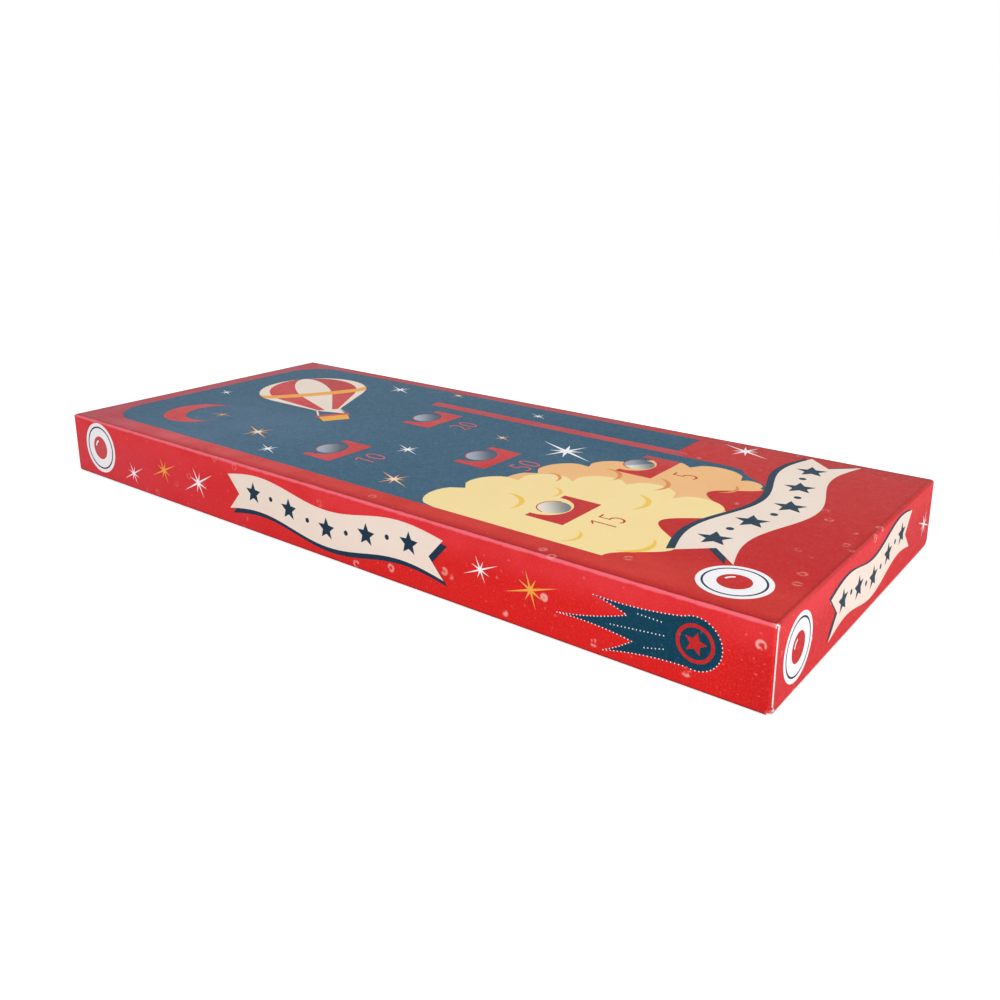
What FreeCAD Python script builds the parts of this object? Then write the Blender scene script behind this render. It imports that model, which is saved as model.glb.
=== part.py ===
import FreeCAD, Part
import math
import os

# A bagatelle board game in its printed paperboard carton. Millimetres, +Z up.
# The origin is the centre of the carton's underside. +X runs to the near end, where the
# player stands and the plunger is; +Y runs to the rear long side, where the launch lane is.

# ---------------------------------------------------------------- driving dimensions
carton_length = 370.0
carton_width = 159.0
carton_height = 29.0
board = 0.6                    # thickness of the folding boxboard
crease_radius = 1.0            # outside radius of a folded crease
crease_gap = 0.2               # slit along a crease between a fixed panel and a flap
flap_gap = 0.2                 # air between a closure panel and the dust flaps behind it
closure_side_clearance = 0.8   # a closure panel is this much narrower than the carton, per side
closure_corner_cut = 1.5       # chamfer on the lower corners of a closure panel
closure_lift = 0.25            # air between a tuck flap's root and the bottom panel
tuck_length = 10.0
tuck_rest_angle = 15.0         # the tuck flap springs up off the bottom panel
tuck_corner_radius = 6.0
tuck_side_clearance = 2.0
dust_length = 13.0
dust_low_clearance = 4.6       # from the underside of the carton to a dust flap's lower edge
dust_top_clearance = 2.0
dust_taper = 0.95              # fall of a dust flap's upper edge for each mm from its crease
dust_tip_radius = 1.5
glue_flap_width = 14.0
glue_flap_end_inset = 14.0
raw_edge_inset = 0.2           # the bottom panel's raw edge stops short of the rear face

slide_clearance = 0.2          # under the foot pads
game_side_clearance = 1.7
game_far_clearance = 0.8
game_top_clearance = 1.2

foot_height = 3.6
foot_diameter = 14.0
foot_inset = 30.0
foot_chamfer = 0.9
base_thickness = 5.0
base_corner_radius = 3.0
sheet_thickness = 0.4
far_rail_width = 8.0
rear_rail_width = 7.4
front_rail_width = 10.6
near_rail_width = 12.0
arch_radius = 22.0             # rounded far corners of the playfield
rail_edge_chamfer = 1.2
lane_width = 20.7
divider_width = 7.3
divider_start = 130.0          # from the far end of the carton to the divider's tip
divider_slant = 6.0            # the divider's end is this much shorter on the playfield's side
housing_length = 58.0
apron_tip_depth = 23.0         # from the near rail to the tips of the scallops
apron_bay_depth = 6.5          # from the near rail to the bottom of the bays
apron_tip_radius = 5.0
apron_bays = 3
apron_edge_chamfer = 0.6

ball_diameter = 14.0
ball_clearance = 0.2
dimple_radius = 12.0
dimple_rim = 13.5              # diameter of a dimple at the playfield
cup_length = 17.0
cup_width = 26.0
cup_height = 12.0
cup_edge_chamfer = 0.8
pocket_radius = 9.8
pocket_inset = 1.1             # centre of a pocket, inside the cup's open face
dimple_inset = 3.8             # centre of a dimple, inside that face
gutter_length = 27.0           # from the backs of the nearest cups to the apron's tips
cup_row_share = 0.206          # from one row of cups to the next, as a share of the field's length
cup_column_share = 0.58        # from the middle cup to those at its sides, of half the field's width
cup_shift = 2.9                # the middle cup is this much nearer to the lane than the field's middle

rod_diameter = 6.0
rod_clearance = 0.1            # radial running clearance in the bores
housing_wall = 8.0
chamber_diameter = 11.0
collar_diameter = 10.0
collar_length = 3.0
collar_clearance = 0.3
spring_outer_diameter = 9.4
spring_wire = 0.9              # side of the wire's square section
spring_turns = 6
plunger_stroke = 18.0
tip_diameter = 10.0
tip_length = 6.0
tip_chamfer = 1.5
tip_clearance = 1.0            # from the tip, with the plunger fully pulled, to the housing
washer_diameter = 13.0
washer_thickness = 1.2
washer_clearance = 0.3
knob_clearance = 1.1           # from the knob, fully pulled, to the dust flaps
knob_diameter = 16.0
knob_length = 8.0
knob_neck_diameter = 9.0
knob_neck_length = 2.4
knob_flare_length = 2.4
knob_crown_diameter = 9.0
rod_engagement = 5.0           # length of rod held in the knob

# Each score cup: the points it is worth, its row, counted from the apron, and its column:
# 1 nearest to the launch lane, -1 nearest to the front rail.
score_cups = {
    5: (0, 1),
    10: (2, -1),
    15: (0, -1),
    20: (2, 1),
    50: (1, 0),
}

at_place = 0.001               # an edge this near to a plane lies in it

# ---------------------------------------------------------------- places worked out
end_x = carton_length / 2
side_y = carton_width / 2
flap_step = board + flap_gap
dust_outer_x = end_x - flap_step
dust_inner_x = dust_outer_x - board
closure_bottom_z = board + closure_lift
closure_top_z = carton_height - crease_radius - crease_gap
tuck_root_x = end_x - crease_radius - crease_gap
dust_root_y = side_y - crease_radius - crease_gap

game_far_x = -(dust_inner_x - game_far_clearance)
knob_end_x = dust_inner_x - knob_clearance - plunger_stroke
knob_face_x = knob_end_x - knob_length
game_near_x = knob_face_x - washer_thickness - washer_clearance
game_side_y = side_y - board - game_side_clearance
foot_z = board + slide_clearance
base_z = foot_z + foot_height
rail_z = base_z + base_thickness
play_z = rail_z + sheet_thickness
rail_top_z = carton_height - board - game_top_clearance

far_inner_x = game_far_x + far_rail_width
near_inner_x = game_near_x - near_rail_width
rear_inner_y = game_side_y - rear_rail_width
front_inner_y = -(game_side_y - front_rail_width)
arch_end_x = far_inner_x + arch_radius
lane_y = rear_inner_y - lane_width / 2
divider_rear_y = rear_inner_y - lane_width
divider_front_y = divider_rear_y - divider_width
divider_start_x = divider_start - end_x
housing_x = near_inner_x - housing_length
apron_tip_x = near_inner_x - apron_tip_depth
field_length = apron_tip_x - far_inner_x
field_half_width = (divider_front_y - front_inner_y) / 2
middle_cup_y = front_inner_y + field_half_width + cup_shift

dimple_depth = dimple_radius - math.sqrt(dimple_radius ** 2 - (dimple_rim / 2) ** 2)
ball_roll_z = play_z + ball_clearance + ball_diameter / 2
rod_z = play_z + ball_diameter / 2
tip_face_x = housing_x - tip_clearance - plunger_stroke - tip_length
lane_ball_x = tip_face_x - ball_clearance - ball_diameter / 2


# ---------------------------------------------------------------- shapes
def point(x, y, z=0.0):
    return FreeCAD.Vector(x, y, z)


def box(low, high):
    size = [high[i] - low[i] for i in range(3)]
    return Part.makeBox(*size, point(*low))


def outline(*corners):
    return Part.Face(Part.makePolygon([*corners, corners[0]]))


def crease(centre, start, end, run):
    """A quarter bend of board about centre, from direction start to direction end,
    drawn along run, which begins at the centre."""
    inner_radius = crease_radius - board
    middle = (start + end).normalize()
    outer = Part.Arc(*(centre + side * crease_radius for side in (start, middle, end)))
    inner = Part.Arc(*(centre + side * inner_radius for side in (end, middle, start)))
    edges = [
        outer.toShape(),
        Part.makeLine(centre + end * crease_radius, centre + end * inner_radius),
        inner.toShape(),
        Part.makeLine(centre + start * inner_radius, centre + start * crease_radius),
    ]
    return Part.Face(Part.Wire(edges)).extrude(run)


def mirrored_end(shape):
    """The same flap at the far end of the carton."""
    return shape.mirror(point(0, 0), point(1, 0))


def mirrored_side(shape):
    """The same flap on the front long side."""
    return shape.mirror(point(0, 0), point(0, 1))


def joined(first, *others):
    return first.fuse(list(others)).removeSplitter()


def round_edges(shape, radius, chosen):
    return shape.makeFillet(radius, [edge for edge in shape.Edges if chosen(edge)])


def ease_top(shape, chamfer):
    """Breaks the top edges, as a painted wooden part has them."""
    top = shape.BoundBox.ZMax
    return shape.makeChamfer(chamfer, [edge for edge in shape.Edges if is_at_height(edge, top)])


def is_upright(edge):
    return edge.BoundBox.XLength + edge.BoundBox.YLength < at_place


def is_at_height(edge, z):
    return abs(edge.BoundBox.ZMin - z) < at_place and abs(edge.BoundBox.ZMax - z) < at_place


def extruded(edges, height):
    return Part.Face(Part.Wire(edges)).extrude(Z * height)


def chain(*corners):
    return [Part.makeLine(a, b) for a, b in zip(corners, corners[1:])]


X = point(1, 0)
Y = point(0, 1)
Z = point(0, 0, 1)


# ---------------------------------------------------------------- carton sleeve
# The sleeve is one creased sheet. Its panels are kept as separate solids that meet at
# the creases, and each crease belongs to the upper or outer panel beside it.
def top_panel():
    flat_x = end_x - crease_radius
    flat_y = side_y - crease_radius
    crease_z = carton_height - crease_radius
    panel = box((-flat_x, -flat_y, carton_height - board), (flat_x, flat_y, carton_height))
    long_run = X * (2 * flat_x)
    end_run = Y * (2 * flat_y)
    bends = [crease(point(-flat_x, side * flat_y, crease_z), Z, Y * side, long_run) for side in (1, -1)]
    bends += [crease(point(end * flat_x, -flat_y, crease_z), Z, X * end, end_run) for end in (1, -1)]
    return joined(panel, *bends)


def side_panel(low_z):
    """The rear side panel above low_z, with the creases that its dust flaps fold on."""
    flat_x = dust_outer_x - crease_radius
    high_z = carton_height - crease_radius
    panel = box((-flat_x, side_y - board, low_z), (flat_x, side_y, high_z))
    centre_y = side_y - crease_radius
    run = Z * (high_z - low_z)
    bends = [crease(point(end * flat_x, centre_y, low_z), Y, X * end, run) for end in (1, -1)]
    return joined(panel, *bends)


def front_panel():
    return mirrored_side(side_panel(crease_radius))


def rear_panel():
    low_z = board + crease_radius
    flat_x = dust_outer_x - crease_radius
    bend = crease(point(-flat_x, side_y - crease_radius, low_z), Y, -Z, X * (2 * flat_x))
    return joined(side_panel(low_z), bend)


def bottom_panel():
    front_flat_y = -(side_y - crease_radius)
    panel = box((-end_x, front_flat_y, 0), (end_x, side_y - raw_edge_inset, board))
    start = point(-dust_outer_x, front_flat_y, crease_radius)
    bend = crease(start, -Z, -Y, X * (2 * dust_outer_x))
    return joined(panel, bend)


def glue_flap():
    """Glued down on the inside of the bottom panel, with its ends cut at 45 degrees."""
    root_y = side_y - crease_radius
    tip_y = root_y - glue_flap_width
    root_x = end_x - glue_flap_end_inset
    tip_x = root_x - glue_flap_width
    corners = [(-root_x, root_y), (root_x, root_y), (tip_x, tip_y), (-tip_x, tip_y)]
    return outline(*(point(x, y, board) for x, y in corners)).extrude(Z * board)


# ---------------------------------------------------------------- tuck ends
def closure_panel():
    """The near end's outer panel, hinged on the top panel, with its tuck crease."""
    edge_y = side_y - closure_side_clearance
    cut_y = edge_y - closure_corner_cut
    low_z = closure_bottom_z + crease_radius
    cut_z = low_z + closure_corner_cut
    corners = [
        (-cut_y, low_z), (cut_y, low_z), (edge_y, cut_z),
        (edge_y, closure_top_z), (-edge_y, closure_top_z), (-edge_y, cut_z),
    ]
    panel = outline(*(point(end_x - board, y, z) for y, z in corners)).extrude(X * board)
    bend_y = side_y - tuck_side_clearance
    centre = point(end_x - crease_radius, -bend_y, low_z)
    return joined(panel, crease(centre, X, -Z, Y * (2 * bend_y)))


def tuck_flap():
    half_width = side_y - tuck_side_clearance
    low = (tuck_root_x - tuck_length, -half_width, closure_bottom_z)
    high = (tuck_root_x, half_width, closure_bottom_z + board)
    tip_x = low[0]
    flap = box(low, high)
    flap = round_edges(
        flap, tuck_corner_radius,
        lambda e: e.BoundBox.XMax < tip_x + at_place and is_upright(e),
    )
    flap.rotate(point(tuck_root_x, 0, closure_bottom_z), Y, tuck_rest_angle)
    return flap


def dust_flap():
    """The rear one at the near end. Its upper edge falls away from the closure's hinge."""
    high_z = carton_height - dust_top_clearance
    tip_y = dust_root_y - dust_length
    tip_z = high_z - dust_taper * dust_length
    corners = [
        (dust_root_y, dust_low_clearance), (dust_root_y, high_z),
        (tip_y, tip_z), (tip_y, dust_low_clearance),
    ]
    flap = outline(*(point(dust_inner_x, y, z) for y, z in corners)).extrude(X * board)
    return round_edges(
        flap, dust_tip_radius,
        lambda e: e.BoundBox.YMax < tip_y + at_place and e.BoundBox.ZLength < at_place,
    )


# ---------------------------------------------------------------- game tray
def base_board():
    board_shape = box((game_far_x, -game_side_y, base_z), (game_near_x, game_side_y, rail_z))
    board_shape = round_edges(board_shape, base_corner_radius, is_upright)
    for x, y in dimple_centres().values():
        ball = Part.makeSphere(dimple_radius, point(x, y, rail_z - dimple_depth + dimple_radius))
        board_shape = board_shape.cut(ball)
    return board_shape


def cup_face_x(points):
    row = score_cups[points][0]
    return apron_tip_x - gutter_length - cup_length - row * cup_row_share * field_length


def dimple_centres():
    """The places of the dimples, each by the points that its cup is worth."""
    column_pitch = cup_column_share * field_half_width
    return {
        points: (cup_face_x(points) + dimple_inset, middle_cup_y + column * column_pitch)
        for points, (row, column) in score_cups.items()
    }


def playfield_sheet():
    """The printed card glued between the rails, punched out over each dimple."""
    sheet = box((far_inner_x, front_inner_y, rail_z), (near_inner_x, rear_inner_y, play_z))
    sheet = round_edges(sheet, arch_radius, lambda e: is_upright(e) and e.BoundBox.XMax < arch_end_x)
    for x, y in dimple_centres().values():
        sheet = sheet.cut(Part.makeCylinder(dimple_rim / 2, sheet_thickness, point(x, y, rail_z)))
    return sheet


def rail(low_x, low_y, high_x, high_y, bottom=rail_z):
    return box((low_x, low_y, bottom), (high_x, high_y, rail_top_z))


def far_rail():
    """The arch: a rail across the far end whose inner corners turn the ball round."""
    outer = rail(game_far_x, -game_side_y, arch_end_x, game_side_y)
    outer = round_edges(outer, base_corner_radius, lambda e: is_upright(e) and e.BoundBox.XMax < far_inner_x)
    inner = rail(far_inner_x, front_inner_y, arch_end_x + arch_radius, rear_inner_y)
    inner = round_edges(inner, arch_radius, lambda e: is_upright(e) and e.BoundBox.XMax < arch_end_x)
    return ease_top(outer.cut(inner), rail_edge_chamfer)


def front_rail():
    return ease_top(rail(arch_end_x, -game_side_y, near_inner_x, front_inner_y), rail_edge_chamfer)


def rear_rail():
    return ease_top(rail(arch_end_x, rear_inner_y, near_inner_x, game_side_y), rail_edge_chamfer)


def near_rail():
    """The rail at the player's end, bored for the plunger's rod."""
    shape = rail(near_inner_x, -game_side_y, game_near_x, game_side_y)
    shape = round_edges(shape, base_corner_radius, lambda e: is_upright(e) and e.BoundBox.XMin > near_inner_x)
    return ease_top(shape, rail_edge_chamfer).cut(rod_bore(near_inner_x, near_rail_width))


def rod_bore(x, length, diameter=rod_diameter + 2 * rod_clearance):
    return Part.makeCylinder(diameter / 2, length, point(x, lane_y, rod_z), X)


def lane_divider():
    """The strip between launch lane and playfield. Its far end is cut at a slant, so that
    a ball that leaves the lane is led towards the arch."""
    corners = [
        (divider_start_x, divider_rear_y), (near_inner_x, divider_rear_y),
        (near_inner_x, divider_front_y), (divider_start_x + divider_slant, divider_front_y),
    ]
    strip = outline(*(point(x, y, play_z) for x, y in corners)).extrude(Z * (rail_top_z - play_z))
    return ease_top(strip, rail_edge_chamfer)


def scalloped_apron():
    """The block that stops lost balls in round bays above the near rail. Its edge is a
    chain of tangent arcs: a tip between every two bays, and half a tip at each end."""
    span = divider_front_y - front_inner_y
    pitch = span / apron_bays
    depth = apron_tip_depth - apron_bay_depth
    both_radii = (depth ** 2 + (pitch / 2) ** 2) / (2 * depth)
    bay_radius = both_radii - apron_tip_radius
    bay_x = near_inner_x - apron_bay_depth
    tip_centre_x = apron_tip_x + apron_tip_radius
    tips = [point(tip_centre_x, front_inner_y + pitch * i, play_z) for i in range(apron_bays + 1)]
    bays = [point(bay_x - bay_radius, tip.y + pitch / 2, play_z) for tip in tips[:-1]]
    share = apron_tip_radius / both_radii
    entries = [tip + (bay - tip) * share for tip, bay in zip(tips, bays)]
    exits = [tip + (bay - tip) * share for tip, bay in zip(tips[1:], bays)]
    noses = [tip - X * apron_tip_radius for tip in tips]

    def around(centre, start, end, radius):
        return centre + ((start + end) / 2 - centre).normalize() * radius

    arcs = [Part.Arc(noses[0], around(tips[0], noses[0], entries[0], apron_tip_radius), entries[0])]
    for i, bay in enumerate(bays):
        arcs.append(Part.Arc(entries[i], bay + X * bay_radius, exits[i]))
        last = i == apron_bays - 1
        if last:
            middle = around(tips[-1], exits[i], noses[-1], apron_tip_radius)
            arcs.append(Part.Arc(exits[i], middle, noses[-1]))
        else:
            arcs.append(Part.Arc(exits[i], noses[i + 1], entries[i + 1]))
    corners = [
        noses[-1],
        point(near_inner_x, divider_front_y, play_z),
        point(near_inner_x, front_inner_y, play_z),
        noses[0],
    ]
    edges = [arc.toShape() for arc in arcs] + chain(*corners)
    return ease_top(extruded(edges, rail_top_z - play_z), apron_edge_chamfer)


def plunger_housing():
    """The block that closes the launch lane, bored for the rod and its spring."""
    block = rail(housing_x, divider_rear_y, near_inner_x, rear_inner_y, play_z)
    shape = ease_top(block, rail_edge_chamfer)
    chamber_x = housing_x + housing_wall
    chamber = rod_bore(chamber_x, near_inner_x - chamber_x, chamber_diameter)
    return shape.cut(rod_bore(housing_x, housing_length)).cut(chamber)


def score_cup(points):
    """A block with a round pocket, open towards the far end, around one dimple."""
    face_x = cup_face_x(points)
    back_x = face_x + cup_length
    y = dimple_centres()[points][1]
    half = cup_width / 2
    mouth = math.sqrt(pocket_radius ** 2 - pocket_inset ** 2)
    plan = [
        (face_x, -mouth), (face_x, -half), (back_x, -half),
        (back_x, half), (face_x, half), (face_x, mouth),
    ]
    corners = [point(x, y + across, play_z) for x, across in plan]
    deepest = point(face_x + pocket_inset + pocket_radius, y, play_z)
    pocket = Part.Arc(corners[-1], deepest, corners[0])
    return ease_top(extruded(chain(*corners) + [pocket.toShape()], cup_height), cup_edge_chamfer)


def foot_pads():
    pads = []
    for x in (game_far_x + foot_inset, game_near_x - foot_inset):
        for y in (-game_side_y + foot_inset, game_side_y - foot_inset):
            pad = Part.makeCylinder(foot_diameter / 2, foot_height, point(x, y, foot_z))
            lower_rim = [edge for edge in pad.Edges if is_at_height(edge, foot_z)]
            pads.append(pad.makeChamfer(foot_chamfer, lower_rim))
    return Part.makeCompound(pads)


# ---------------------------------------------------------------- plunger
def turned(x, *profile):
    """A piece turned about the rod's axis and bored to fit it. The profile lists
    (distance along, radius) from one end of the piece to the other."""
    start, end = profile[0][0], profile[-1][0]
    corners = [point(x + along, lane_y, rod_z + radius) for along, radius in [(start, 0), *profile, (end, 0)]]
    blank = outline(*corners).revolve(point(x, lane_y, rod_z), X, 360)
    return blank.cut(plunger_rod())


def plunger_rod():
    start_x = tip_face_x + tip_length / 2
    length = knob_face_x + rod_engagement - start_x
    return Part.makeCylinder(rod_diameter / 2, length, point(start_x, lane_y, rod_z), X)


def plunger_tip():
    """A rubber bumper pushed over the rod's end."""
    radius = tip_diameter / 2
    return turned(tip_face_x, (0, radius - tip_chamfer), (tip_chamfer, radius), (tip_length, radius))


def spring_collar():
    x = housing_x + housing_wall + collar_clearance
    return turned(x, (0, collar_diameter / 2), (collar_length, collar_diameter / 2))


def plunger_spring():
    """A compression spring of square wire between the collar and the near rail."""
    start_x = housing_x + housing_wall + collar_clearance + collar_length
    inner = spring_outer_diameter / 2 - spring_wire
    outer = spring_outer_diameter / 2
    coil_radius = (inner + outer) / 2
    half = spring_wire / 2
    height = near_inner_x - start_x - 2 * spring_wire
    helix = Part.makeHelix(height / spring_turns, height, coil_radius)
    corners = [point(inner, 0, -half), point(outer, 0, -half), point(outer, 0, half), point(inner, 0, half)]
    section = Part.makePolygon([*corners, corners[0]])
    coil = Part.Wire(helix).makePipeShell([section], True, True)
    coil.rotate(point(0, 0), Y, 90)
    coil.translate(point(start_x + spring_wire, lane_y, rod_z))
    return coil


def knob_washer():
    radius = washer_diameter / 2
    return turned(knob_face_x - washer_thickness, (0, radius), (washer_thickness, radius))


def plunger_knob():
    """A small turned mushroom knob: a neck, a flare, the grip and a bevelled crown."""
    neck, rim, crown = knob_neck_diameter / 2, knob_diameter / 2, knob_crown_diameter / 2
    rim_x = knob_neck_length + knob_flare_length
    crown_x = knob_length - (knob_length - rim_x) / 2
    return turned(
        knob_face_x,
        (0, neck), (knob_neck_length, neck), (rim_x, rim), (crown_x, rim), (knob_length, crown),
    )


def launch_ball():
    return Part.makeSphere(ball_diameter / 2, point(lane_ball_x, lane_y, ball_roll_z))


# ---------------------------------------------------------------- all pieces
def build():
    near_dust = dust_flap()
    closure = closure_panel()
    tuck = tuck_flap()
    nodes = {
        "carton_top_panel": top_panel(),
        "carton_front_panel": front_panel(),
        "carton_rear_panel": rear_panel(),
        "carton_bottom_panel": bottom_panel(),
        "carton_glue_flap": glue_flap(),
        "near_closure_panel": closure,
        "near_tuck_flap": tuck,
        "near_dust_flap_rear": near_dust,
        "near_dust_flap_front": mirrored_side(near_dust),
        "far_closure_panel": mirrored_end(closure),
        "far_tuck_flap": mirrored_end(tuck),
        "far_dust_flap_rear": mirrored_end(near_dust),
        "far_dust_flap_front": mirrored_end(mirrored_side(near_dust)),
        "base_board": base_board(),
        "playfield_sheet": playfield_sheet(),
        "far_rail": far_rail(),
        "front_rail": front_rail(),
        "rear_rail": rear_rail(),
        "near_rail": near_rail(),
        "lane_divider": lane_divider(),
        "scalloped_apron": scalloped_apron(),
        "plunger_housing": plunger_housing(),
        "foot_pads": foot_pads(),
        "plunger_rod": plunger_rod(),
        "plunger_tip": plunger_tip(),
        "spring_collar": spring_collar(),
        "plunger_spring": plunger_spring(),
        "knob_washer": knob_washer(),
        "plunger_knob": plunger_knob(),
        "launch_ball": launch_ball(),
    }
    for points in score_cups:
        nodes[f"score_cup_{points}"] = score_cup(points)
    return nodes


nodes = build()
os.makedirs("parts", exist_ok=True)
for name, shape in nodes.items():
    shape.exportStep(f"parts/{name}.step")
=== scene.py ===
import math

import bmesh
import bpy
from mathutils import Matrix, Vector


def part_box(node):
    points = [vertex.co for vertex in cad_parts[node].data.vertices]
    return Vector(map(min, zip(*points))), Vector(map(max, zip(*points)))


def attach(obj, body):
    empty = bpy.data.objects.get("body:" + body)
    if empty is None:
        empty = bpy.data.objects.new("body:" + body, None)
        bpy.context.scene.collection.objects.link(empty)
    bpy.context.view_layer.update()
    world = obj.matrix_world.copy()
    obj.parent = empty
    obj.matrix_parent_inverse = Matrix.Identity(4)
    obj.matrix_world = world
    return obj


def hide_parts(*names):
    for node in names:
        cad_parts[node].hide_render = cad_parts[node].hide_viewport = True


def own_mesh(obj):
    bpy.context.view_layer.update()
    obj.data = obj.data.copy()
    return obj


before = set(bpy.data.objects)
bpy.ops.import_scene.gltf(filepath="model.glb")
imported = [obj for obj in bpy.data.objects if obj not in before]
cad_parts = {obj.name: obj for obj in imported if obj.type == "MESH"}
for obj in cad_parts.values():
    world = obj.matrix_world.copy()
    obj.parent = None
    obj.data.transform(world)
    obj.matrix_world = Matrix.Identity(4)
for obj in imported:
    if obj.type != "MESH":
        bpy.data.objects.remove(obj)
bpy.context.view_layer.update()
bpy.ops.object.select_all(action="DESELECT")

# ---------------------------------------------------------------- floor, light and camera
# A plain white floor under a white backdrop, lit by a soft sky and two large soft lamps.
# The near side lamp is low, so that it lights the carton's upright sides more than its top.
mm = 0.001


def add_node(tree, kind, **settings):
    node = tree.nodes.new(kind)
    for name, value in settings.items():
        setattr(node, name, value)
    return node


def white_to_the_camera(tree, lighting, output):
    """Shows plain white to camera, mirror and glass rays, and lighting to all others."""
    path = add_node(tree, "ShaderNodeLightPath")
    seen = path.outputs["Is Camera Ray"]
    for ray in ("Is Glossy Ray", "Is Transmission Ray"):
        either = add_node(tree, "ShaderNodeMath", operation="MAXIMUM")
        tree.links.new(seen, either.inputs[0])
        tree.links.new(path.outputs[ray], either.inputs[1])
        seen = either.outputs[0]
    white = add_node(tree, "ShaderNodeBackground")
    white.inputs["Color"].default_value = (1, 1, 1, 1)
    mix = add_node(tree, "ShaderNodeMixShader")
    tree.links.new(seen, mix.inputs["Fac"])
    tree.links.new(lighting.outputs[0], mix.inputs[1])
    tree.links.new(white.outputs[0], mix.inputs[2])
    tree.links.new(mix.outputs[0], output.inputs["Surface"])


world = bpy.data.worlds.new("soft_sky")
bpy.context.scene.world = world
world.use_nodes = True
sky = world.node_tree.nodes["Background"]
sky.inputs["Color"].default_value = (0.93, 0.96, 1.0, 1)
sky.inputs["Strength"].default_value = 0.52
white_to_the_camera(world.node_tree, sky, world.node_tree.nodes["World Output"])

floor_size = 2.6
floor_drop = 0.02 * mm
bpy.ops.mesh.primitive_plane_add(size=floor_size, location=(0, 0, -floor_drop))
floor = bpy.context.object
floor.name = "floor"
floor_paint = bpy.data.materials.new("floor_white")
floor_paint.use_nodes = True
tree = floor_paint.node_tree
matt = tree.nodes["Principled BSDF"]
matt.inputs["Base Color"].default_value = (0.9, 0.9, 0.9, 1)
matt.inputs["Roughness"].default_value = 1.0
matt.inputs["Specular IOR Level"].default_value = 0.0
glow = add_node(tree, "ShaderNodeEmission")
glow.inputs["Strength"].default_value = 0.5
path = add_node(tree, "ShaderNodeLightPath")
brightened = add_node(tree, "ShaderNodeAddShader")
seen = add_node(tree, "ShaderNodeMixShader")
tree.links.new(matt.outputs[0], brightened.inputs[0])
tree.links.new(glow.outputs[0], brightened.inputs[1])
tree.links.new(path.outputs["Is Camera Ray"], seen.inputs["Fac"])
tree.links.new(matt.outputs[0], seen.inputs[1])
tree.links.new(brightened.outputs[0], seen.inputs[2])
tree.links.new(seen.outputs[0], tree.nodes["Material Output"].inputs["Surface"])
floor.data.materials.append(floor_paint)


def soft_lamp(name, place, target, size, power):
    bpy.ops.object.light_add(type="AREA", location=place)
    lamp = bpy.context.object
    lamp.name = name
    lamp.data.shape = "DISK"
    lamp.data.size = size
    lamp.data.energy = power
    lamp.rotation_euler = (Vector(target) - Vector(place)).to_track_quat("-Z", "Y").to_euler()


lamp_target = (0.1, 0, 0)
soft_lamp("near_side_lamp", (1.15, -0.8, 0.62), lamp_target, 0.9, 12)
soft_lamp("overhead_lamp", (0.2, 0.1, 2.0), lamp_target, 1.4, 8)

camera_place = Vector((0.2740, -0.3209, 0.1564))
camera_aim = Vector((-0.5904, 0.7627, -0.2640))
bpy.ops.object.camera_add(location=camera_place, rotation=camera_aim.to_track_quat("-Z", "Y").to_euler())
camera = bpy.context.object
camera.data.sensor_width = 36
camera.data.lens = 35.02
camera.data.shift_x = -0.0009
camera.data.shift_y = -0.0826
camera.data.clip_start = 0.01
bpy.context.scene.camera = camera
bpy.context.scene.view_settings.view_transform = "Standard"

# ---------------------------------------------------------------- printed boxboard
# The carton is one sheet of white folding boxboard, offset printed outside in a solid red
# under a satin varnish, and left bare inside. Its red carries painted light and shade, and its
# upper creases are paled partly by rubbing and partly by a painted highlight. At the corners
# the print is worn through to the white fibre.
half_length, half_width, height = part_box("carton_top_panel")[1]


def tone(red, green, blue):
    """A screen colour, 0 to 255, as the light values that a shader takes."""
    light = []
    for channel in (red, green, blue):
        share = channel / 255
        light.append(share / 12.92 if channel <= 10 else ((share + 0.055) / 1.055) ** 2.4)
    return (*light, 1)


def new_finish(name, roughness, specular=0.5):
    finish = bpy.data.materials.new(name)
    finish.use_nodes = True
    shader = finish.node_tree.nodes["Principled BSDF"]
    shader.inputs["Roughness"].default_value = roughness
    shader.inputs["Specular IOR Level"].default_value = specular
    return finish, finish.node_tree, shader


def grain(tree, scale, detail=3.0, stretch=(1, 1, 1)):
    """Noise over the piece's own coordinates, at so many grains per metre."""
    coordinates = add_node(tree, "ShaderNodeTexCoord")
    mapping = add_node(tree, "ShaderNodeMapping")
    mapping.inputs["Scale"].default_value = stretch
    noise = add_node(tree, "ShaderNodeTexNoise")
    noise.inputs["Scale"].default_value = scale
    noise.inputs["Detail"].default_value = detail
    tree.links.new(coordinates.outputs["Object"], mapping.inputs["Vector"])
    tree.links.new(mapping.outputs[0], noise.inputs["Vector"])
    return noise.outputs["Fac"]


def ramp(tree, value, low, high, start=0.0, end=1.0):
    """Eases value from start, where it is low, to end, where it is high."""
    step = add_node(tree, "ShaderNodeMapRange", interpolation_type="SMOOTHSTEP")
    step.inputs["From Min"].default_value = low
    step.inputs["From Max"].default_value = high
    step.inputs["To Min"].default_value = start
    step.inputs["To Max"].default_value = end
    tree.links.new(value, step.inputs["Value"])
    return step.outputs[0]


def arithmetic(tree, operation, first, second):
    node = add_node(tree, "ShaderNodeMath", operation=operation)
    for socket, value in zip(node.inputs, (first, second)):
        if isinstance(value, (int, float)):
            socket.default_value = value
        else:
            tree.links.new(value, socket)
    return node.outputs[0]


def product(tree, total, *factors):
    for factor in factors:
        total = arithmetic(tree, "MULTIPLY", total, factor)
    return total


def blended(tree, amount, first, second):
    """Mixes two colours, each a socket or a screen colour from 0 to 255."""
    mix = add_node(tree, "ShaderNodeMix", data_type="RGBA")
    tree.links.new(amount, mix.inputs["Factor"])
    for socket, value in ((mix.inputs[6], first), (mix.inputs[7], second)):
        if isinstance(value, tuple):
            socket.default_value = tone(*value)
        else:
            tree.links.new(value, socket)
    return mix.outputs[2]


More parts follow.
